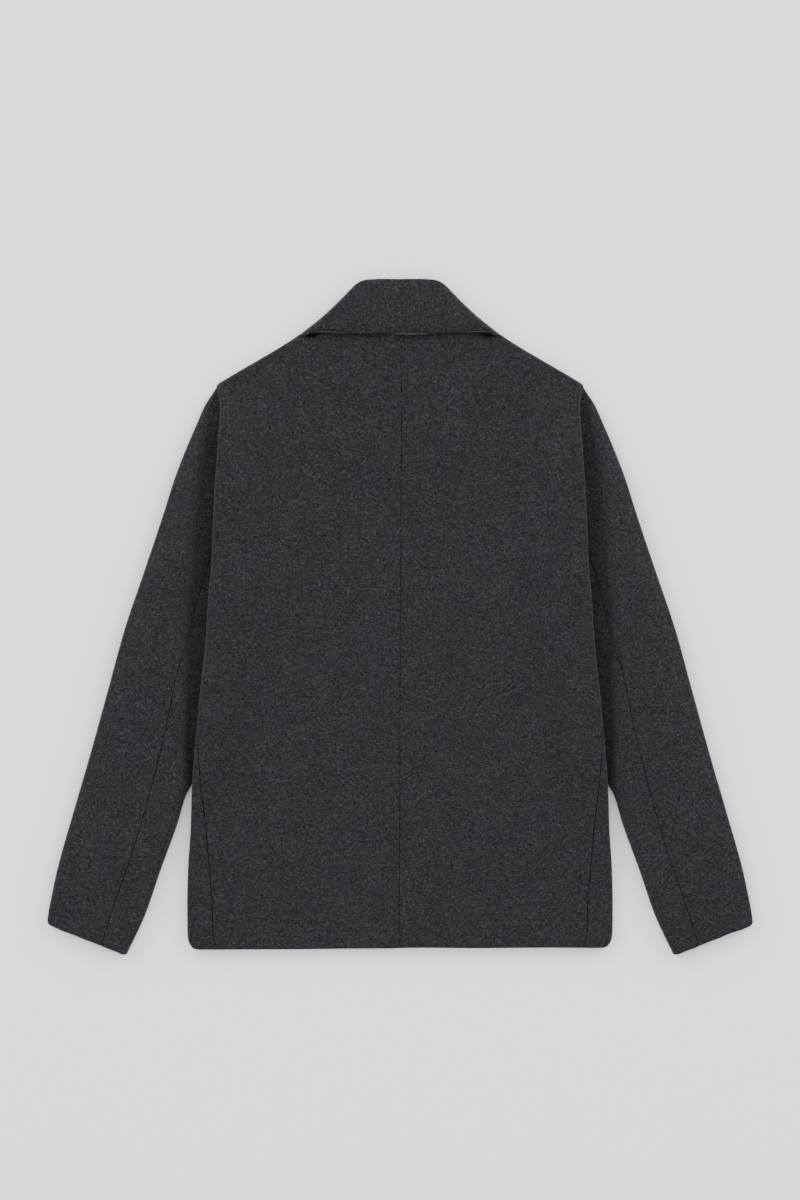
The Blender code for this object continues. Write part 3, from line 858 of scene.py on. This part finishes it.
@dataclass
class CollarLayer:
    """One layer of the turned-down collar, from its edge over the fold to the neck seam.

    Attributes:
        node: The solid that it stands for.
        fall: Distance of the turned-down part from the middle of the collar.
        stand: The same for the part inside it.
        under: Whether it is the under layer, whose edge shows past the upper one's.
        wall: Thickness of its cloth.
        middle: Height of the middle of the collar's side fold.
        side_turn: Degrees that the sides turn by over their fold.
        front_turn: The same at the front ends.
        hollow: How far the collar's sides curve inwards between fold and edge.
        lip_rise: How far the under layer's edge rises where it shows past the upper one's.
        lip_width: Width of that lip.
        lip_reach: Distance past the upper layer's edge at which the lip has its full rise.
        fall_length: Distance from fold to edge.
        fold_shares: Shares of the way from edge to neck seam at which the fold starts and ends.
    """

    node: str
    fall: float
    stand: float
    under: bool = False
    wall: float = 1.5
    middle: float = 8.35
    side_turn: float = 58.0
    front_turn: float = 63.0
    hollow: float = 2.0
    lip_rise: float = 1.9
    lip_width: float = 2.4
    lip_reach: float = 2.8
    fall_length: float = 60.0
    fold_shares: tuple[float, float] = (0.56, 0.76)

    def line_values(self, line: float, columns: Iterable[str]) -> list[float]:
        """Values of the collar's lines between two of them, straight across."""
        low = min(int(line), 1)
        return [mix(COLLAR_LINES.at(low, c), COLLAR_LINES.at(low + 1, c), line - low) for c in columns]

    def edge(self, picture_x: float, s: float) -> float:
        """Y of the layer's lower edge on the back, which curls down at the sides."""
        reach = COLLAR_EDGE.at(picture_x, "reach") if self.under else 0.0
        y = COLLAR_EDGE.at(picture_x, "upper") - reach
        return mix(y, COLLAR_LINES.at(0, "side_y"), smooth((s - 0.925) / 0.075))

    def point(self, s: float, line: float, spread: float, bulge: float, sign: int) -> Point:
        """Place of a point of one half.

        Args:
            s: 0 in the middle of the back, 1 and 2 at the ends of the side fold, 3 at the front end.
            line: 0 at the edge, 1 at the fold and 2 at the neck seam.
            spread: Distance of the layer from the middle of the collar.
            bulge: How far the fold stands out.
            sign: -1 for the left half and 1 for the right one.

        Returns:
            The point in millimetres.
        """
        side = self.line_values(line, ("side_x", "side_y"))
        if s <= 1:
            fold, neck = (COLLAR_BACK.at(s, name) for name in ("fold", "neck"))
            edge = self.edge(sign * COLLAR_LINES.at(0, "side_x") * s, s)
            y = mix(edge, fold, line) if line <= 1 else mix(fold, neck, line - 1)
            plan, turn, z = [side[0] * s, y], 0.0, self.middle + spread
        elif s <= 2:
            out = self.line_values(line, ("out_x", "out_y"))
            angle = math.pi * (s - 1)
            bulge *= 1 - 0.55 * math.sin(angle)
            plan = [a + o * spread * math.sin(angle) for a, o in zip(side, out)]
            turn, z = self.side_turn * (s - 1), self.middle + spread * math.cos(angle)
        else:
            front = self.line_values(line, ("front_x", "front_y"))
            plan = [mix(a, f, s - 2) for a, f in zip(side, front)]
            turn, z = mix(self.side_turn, self.front_turn, s - 2), self.middle - spread
        hollow = self.hollow * math.sin(math.pi * min(line, 1.0)) * smooth((s - 0.6) / 0.4)
        turn = math.radians(turn)
        x = plan[0] - math.sin(turn) * bulge - 0.69 * hollow
        return sign * x, plan[1] + math.cos(turn) * bulge - 0.72 * hollow, z

    def form(self, u: float, v: float) -> Point:
        """Place of a point: u runs from the left front end to the right one, v from edge to neck."""
        sign = -1 if u < 0.5 else 1
        s = stops(abs(u - 0.5) * 2, (0, 0), (0.56, 1), (0.74, 2), (1, 3))
        middle, radius = (self.fall + self.stand) / 2, (self.fall - self.stand) / 2
        fold, stand = self.fold_shares
        if v <= fold:
            line, spread, bulge = stops(v, (0, 0), (0.13, 0.075), (fold, 1)), self.fall, 0.0
        elif v <= stand:
            angle = math.pi * part_of(v, fold, stand)
            line, spread, bulge = 1.0, middle + radius * math.cos(angle), radius * math.sin(angle)
        else:
            line, spread, bulge = 1 + part_of(v, stand, 1.0), self.stand, 0.0
        x, y, z = self.point(s, line, spread, bulge, sign)
        on_back = 1 - smooth((s - 0.9) / 0.5)
        fall = 1 - smooth((v - 0.5) / 0.1)
        lift = 1.5 * math.sin(math.pi * min(v / 0.6, 1.0)) * fall
        lift += 0.5 * wander(x, y, 46, 6.2) * fall * smooth(v / 0.2)
        if self.under:
            shown = part_of(COLLAR_EDGE.at(x, "reach"), 0.6, self.lip_reach) * (1 - smooth((s - 0.9) / 0.1))
            lift += self.lip_rise * shown * (1 - smooth(line * self.fall_length / self.lip_width))
        return x, y, z + lift * on_back

    def build(self) -> Piece:
        piece = PanelSheet(f"cloth_{self.node}", 220, 56, wall=self.wall).build(self.form)
        return declare(piece, self.node, ["back_left", "back_right"])


def declare(
    piece: Piece, node: str, rests_on: list[str]
) -> Piece:
    """Attaches a sheet to the root, hides the solid that it stands for and logs its faces.

    Args:
        piece: The shell.
        node: The solid that it stands for.
        rests_on: Solids that it lies on; not used.

    Returns:
        The same piece.
    """
    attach(piece, "root")
    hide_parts(node)
    LOG.info("%s: %d faces", piece.name, len(piece.data.polygons))
    return piece


class Value:
    """A shader socket that takes part in Python expressions."""

    def __init__(self, tree: "Shader", socket: bpy.types.NodeSocket) -> None:
        """Wraps a socket of a shader."""
        self.tree, self.socket = tree, socket

    def math(self, operation: str, *others: "Value | float") -> "Value":
        """Adds a Math node with this value first."""
        return self.tree.math(operation, self, *others)

    def __add__(self, other: "Value | float") -> "Value":
        """The sum of two values."""
        return self.math("ADD", other)

    def __rsub__(self, other: "Value | float") -> "Value":
        """The difference of a number and this value."""
        return self.tree.math("SUBTRACT", other, self)

    def __mul__(self, other: "Value | float") -> "Value":
        """The product of two values."""
        return self.math("MULTIPLY", other)

    def between(self, low: float, high: float) -> "Value":
        """0 where the value is below low, 1 above high and a smooth step between."""
        node = self.tree.add(
            "ShaderNodeMapRange",
            {"interpolation_type": "SMOOTHSTEP"},
            {"Value": self, "From Min": low, "From Max": high},
        )
        return Value(self.tree, node.outputs["Result"])


class Shader:
    """The node tree of one material, on a Principled BSDF."""

    def __init__(self, name: str) -> None:
        """Makes the material with its shader and object coordinates."""
        self.material = bpy.data.materials.new(name)
        self.material.use_nodes = True
        self.tree = self.material.node_tree
        self.bsdf = self.tree.nodes["Principled BSDF"]
        coordinates = self.add("ShaderNodeTexCoord")
        self.place = Value(self, coordinates.outputs["Object"])

    def add(self, kind: str, settings: dict | None = None, inputs: dict | None = None) -> bpy.types.Node:
        """Adds a node.

        Args:
            kind: The node's type.
            settings: Its own settings, set first.
            inputs: Values or links of its sockets by name or number.

        Returns:
            The node.
        """
        node = self.tree.nodes.new(kind)
        for name, value in (settings or {}).items():
            setattr(node, name, value)
        for name, value in (inputs or {}).items():
            if isinstance(value, Value):
                self.tree.links.new(value.socket, node.inputs[name])
            else:
                node.inputs[name].default_value = value
        return node

    def math(self, operation: str, *values: "Value | float") -> Value:
        """Adds a Math node."""
        node = self.add("ShaderNodeMath", {"operation": operation}, dict(enumerate(values)))
        return Value(self, node.outputs[0])

    def stretched(self, scale: tuple[float, float, float], turn: float) -> Value:
        """Object coordinates turned about Z and scaled, for fibres that lie one way."""
        node = self.add(
            "ShaderNodeMapping", {}, {"Vector": self.place, "Rotation": (0, 0, turn), "Scale": scale}
        )
        return Value(self, node.outputs["Vector"])

    def noise(
        self, scale: float, detail: float = 2.0, rough: float = 0.5, place: Value | None = None
    ) -> Value:
        """Noise from about 0 to 1 at a scale in waves a metre."""
        node = self.add(
            "ShaderNodeTexNoise",
            {},
            {"Vector": place or self.place, "Scale": scale, "Detail": detail, "Roughness": rough},
        )
        return Value(self, node.outputs["Fac"])

    def blend(self, factor: Value, a: "Value | tuple", b: "Value | tuple") -> Value:
        """A colour between two others."""
        node = self.add("ShaderNodeMix", {"data_type": "RGBA"}, {0: factor, 6: a, 7: b})
        return Value(self, node.outputs[2])

    def feed(self, socket: str, value: Value) -> None:
        """Links a value to a socket of the shader."""
        self.tree.links.new(value.socket, self.bsdf.inputs[socket])

    def settle(self, **levels: float | Colour) -> None:
        """Sets sockets of the shader, whose names are given with _ for each space."""
        for name, level in levels.items():
            self.bsdf.inputs[name.replace("_", " ")].default_value = level

    def bump(self, height: Value, distance: float, strength: float) -> None:
        """Feeds a height to the shader's normal."""
        node = self.add("ShaderNodeBump", {}, {"Height": height, "Distance": distance, "Strength": strength})
        self.feed("Normal", Value(self, node.outputs["Normal"]))


@dataclass(frozen=True)
class WoolFinish:
    """Heathered melton: dark ground, pale and black fibres, and patches of cooler and warmer grey."""

    name: str
    cool: Colour = (0.0143, 0.0133, 0.0180, 1.0)
    warm: Colour = (0.0151, 0.0152, 0.0147, 1.0)
    pale: Colour = (0.064, 0.062, 0.072, 1.0)
    black: Colour = (0.0030, 0.0030, 0.0038, 1.0)
    roughness: float = 0.95
    sheen: float = 0.06
    bump_height: float = 0.0009

    def make(self) -> bpy.types.Material:
        """Builds the material."""
        shader = Shader(self.name)
        patches = (shader.noise(30, 3.0, 0.6) * 0.6 + shader.noise(240, 2.0, 0.5) * 0.4).between(0.40, 0.60)
        clouds = shader.noise(42, 2.0, 0.55).between(0.3, 0.7)
        mottle = shader.noise(330, 2.0, 0.6)
        tufts = mottle.between(0.36, 0.64)
        fibres_a = shader.noise(1.0, 3.0, 0.65, shader.stretched((300, 820, 500), 0.9))
        fibres_b = shader.noise(1.0, 3.0, 0.65, shader.stretched((780, 280, 500), -0.5))
        pale = fibres_a.between(0.42, 0.70) * (tufts * 0.8 + 0.2)
        dark = (1 - fibres_b).between(0.42, 0.70) * (1.1 - tufts)
        flecks = shader.noise(460, 1.0, 0.5).between(0.70, 0.76)
        colour = shader.blend(patches, self.cool, self.warm)
        for factor, fibre in (
            ((dark * 1.25).math("MINIMUM", 0.85), self.black),
            ((pale * 0.54).math("MINIMUM", 0.8), self.pale),
            (flecks * 0.6, self.pale),
            (clouds * 0.12, self.black),
        ):
            colour = shader.blend(factor, colour, fibre)
        shader.feed("Base Color", colour)
        shader.bump(fibres_a * 0.5 + fibres_b * 0.5 + mottle * 0.6, self.bump_height, 0.9)
        shader.settle(Roughness=self.roughness, Specular_IOR_Level=0.08)
        shader.settle(Sheen_Weight=self.sheen, Sheen_Roughness=0.5)
        return shader.material


@dataclass(frozen=True)
class ThreadFinish:
    """Twisted sewing thread in the cloth's own colour."""

    name: str
    colour: Colour = (0.010, 0.010, 0.012, 1.0)

    def make(self) -> bpy.types.Material:
        """Builds the material."""
        shader = Shader(self.name)
        twist = shader.noise(2600, 2.0, 0.5)
        pale = tuple(2.2 * c for c in self.colour[:3]) + (1.0,)
        shader.feed("Base Color", shader.blend(twist, self.colour, pale))
        shader.bump(twist, 0.0002, 0.5)
        shader.settle(Roughness=0.6)
        return shader.material


@dataclass(frozen=True)
class FloorFinish:
    """Plain pale paper."""

    name: str
    grey: float = 0.94

    def make(self) -> bpy.types.Material:
        """Builds the material."""
        shader = Shader(self.name)
        grey = (self.grey, self.grey, self.grey, 1.0)
        shader.settle(Base_Color=grey, Roughness=0.9, Specular_IOR_Level=0.1)
        return shader.material


@dataclass
class StitchRun:
    """A row of sunk stitches along a line on the back."""

    name: str
    length: float = 3.0
    pitch: float = 4.4
    thickness: float = 0.55

    def build(self, start: Sequence[float], end: Sequence[float], height: Form) -> Piece:
        """Sews from start to end.

        Args:
            start: X and Y of the first stitch, in the picture's own X.
            end: X and Y of the last stitch.
            height: Gives the place of the cloth's surface at an X and Y.

        Returns:
            The stitches as one piece.
        """
        mesh, shape = bpy.data.meshes.new(self.name), bmesh.new()
        count = int(math.dist(start, end) / self.pitch)
        way = math.atan2(end[1] - start[1], end[0] - start[0])
        for i in range(count):
            x, y, z = height(*(mix(a, b, (i + 0.5) / count) for a, b in zip(start, end)))
            place = Matrix.Translation((x * MM, y * MM, z * MM)) @ Matrix.Rotation(way, 4, "Z")
            size = Matrix.Diagonal((self.length * MM, self.thickness * MM, self.thickness * MM, 1.0))
            bmesh.ops.create_uvsphere(shape, u_segments=8, v_segments=5, radius=0.5, matrix=place @ size)
        shape.to_mesh(mesh)
        shape.free()
        mesh.shade_smooth()
        piece = bpy.data.objects.new(self.name, mesh)
        bpy.context.scene.collection.objects.link(piece)
        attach(piece, "root")
        LOG.info("%s: %d stitches", self.name, count)
        return piece


@dataclass
class Sewing:
    """The stitching that shows on the back, in the picture's own X.

    Attributes:
        backs: The two halves of the back.
        hem_ends: Where the hem's line starts and ends on each half.
        centre_ends: Y of the ends of the line beside the centre seam.
        beside: Distance of that line from the seam.
        sunk: How deep the stitches sit.
    """

    backs: dict[Side, Back]
    hem_ends: tuple[tuple[float, float], ...] = ((-205, -6), (6, 206))
    centre_ends: tuple[float, float] = (-345, 312)
    beside: float = -5.6
    sunk: float = 0.12

    def surface(self, x: float, y: float) -> Point:
        """The upper face of the back, a little sunk, at a place in the picture's own X."""
        back = self.backs[Side.RIGHT if x > CENTRE_SEAM.at(y, "x") else Side.LEFT]
        return x, y, back.height(abs(x), y) + WALL / 2 - self.sunk

    def build(self) -> list[Piece]:
        """Sews the hem line on both halves and the line beside the centre seam."""
        hem_y = HEM + HEM_STITCH
        runs = [
            StitchRun(f"stitches_hem_{side.word}").build((start, hem_y), (end, hem_y), self.surface)
            for side, (start, end) in zip(Side, self.hem_ends)
        ]
        ends = [(CENTRE_SEAM.at(y, "x") + self.beside, y) for y in self.centre_ends]
        return runs + [StitchRun("stitches_centre_back", 2.8, 4.0).build(*ends, self.surface)]


@dataclass
class Studio:
    """Camera straight above, pale floor, bright sky and a large soft light at each top corner."""

    view_height: float = 1.380
    distance: float = 5.0
    sensor: float = 36.0
    centre_y: float = 0.019
    key_place: tuple[float, float, float] = (5.4, 5.2, 3.2)
    key_width: float = 5.0
    key_height: float = 3.6
    key_power: float = 520.0
    sky: float = 1.55

    def camera(self) -> None:
        """Places the camera that looks straight down."""
        data = bpy.data.cameras.new("camera")
        data.sensor_fit = "VERTICAL"
        data.sensor_height = self.sensor
        data.lens = self.sensor * self.distance / self.view_height
        eye = bpy.data.objects.new("camera", data)
        eye.location = (0.0, self.centre_y, self.distance + 0.01)
        bpy.context.scene.collection.objects.link(eye)
        bpy.context.scene.camera = eye

    def key(self) -> None:
        """Adds a large low light on each side of the picture's top, which both face the jacket."""
        for side in Side:
            data = bpy.data.lights.new(f"key_{side.word}", "AREA")
            data.shape = "RECTANGLE"
            data.size, data.size_y, data.energy = self.key_width, self.key_height, self.key_power
            lamp = bpy.data.objects.new(f"key_{side.word}", data)
            lamp.location = (side.value * self.key_place[0], *self.key_place[1:])
            lamp.rotation_euler = lamp.location.to_track_quat("Z", "Y").to_euler()
            bpy.context.scene.collection.objects.link(lamp)

    def floor(self) -> None:
        """Adds the pale floor."""
        bpy.ops.object.select_all(action="DESELECT")
        bpy.ops.mesh.primitive_plane_add(size=60.0, location=(0, 0, -0.0004))
        floor = bpy.context.active_object
        floor.name = "floor"
        floor.data.materials.append(FloorFinish("paper").make())

    def build(self) -> None:
        """Builds camera, floor, lights and sky."""
        self.camera()
        self.floor()
        self.key()
        world = bpy.data.worlds.new("sky")
        world.use_nodes = True
        background = world.node_tree.nodes["Background"]
        background.inputs["Color"].default_value = (1.0, 1.0, 1.0, 1.0)
        background.inputs["Strength"].default_value = self.sky
        bpy.context.scene.world = world


def dress(pieces: Iterable[Piece], material: bpy.types.Material) -> None:
    """Gives the pieces one material."""
    for piece in pieces:
        piece.data.materials.clear()
        piece.data.materials.append(material)


def main() -> None:
    """Builds the studio, the jacket's pieces and their finishes, in order."""
    Studio().build()
    wool = WoolFinish("charcoal_melton").make()
    felt = WoolFinish("under_collar_felt", (0.025, 0.024, 0.030, 1.0), (0.026, 0.026, 0.027, 1.0)).make()
    backs = {side: Back(side) for side in Side}
    cloth = [back.build() for back in backs.values()]
    cloth += [Front(side).build() for side in Side]
    for side in Side:
        cloth += Sleeve(side).build()
    cloth.append(CollarLayer("collar_upper", 7.6, 1.5).build())
    dress(cloth, wool)
    dress([CollarLayer("collar_under", 5.7, 3.5, under=True).build()], felt)
    dress(Sewing(backs).build(), ThreadFinish("charcoal_thread").make())
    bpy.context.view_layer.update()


if __name__ == "__main__":
    main()
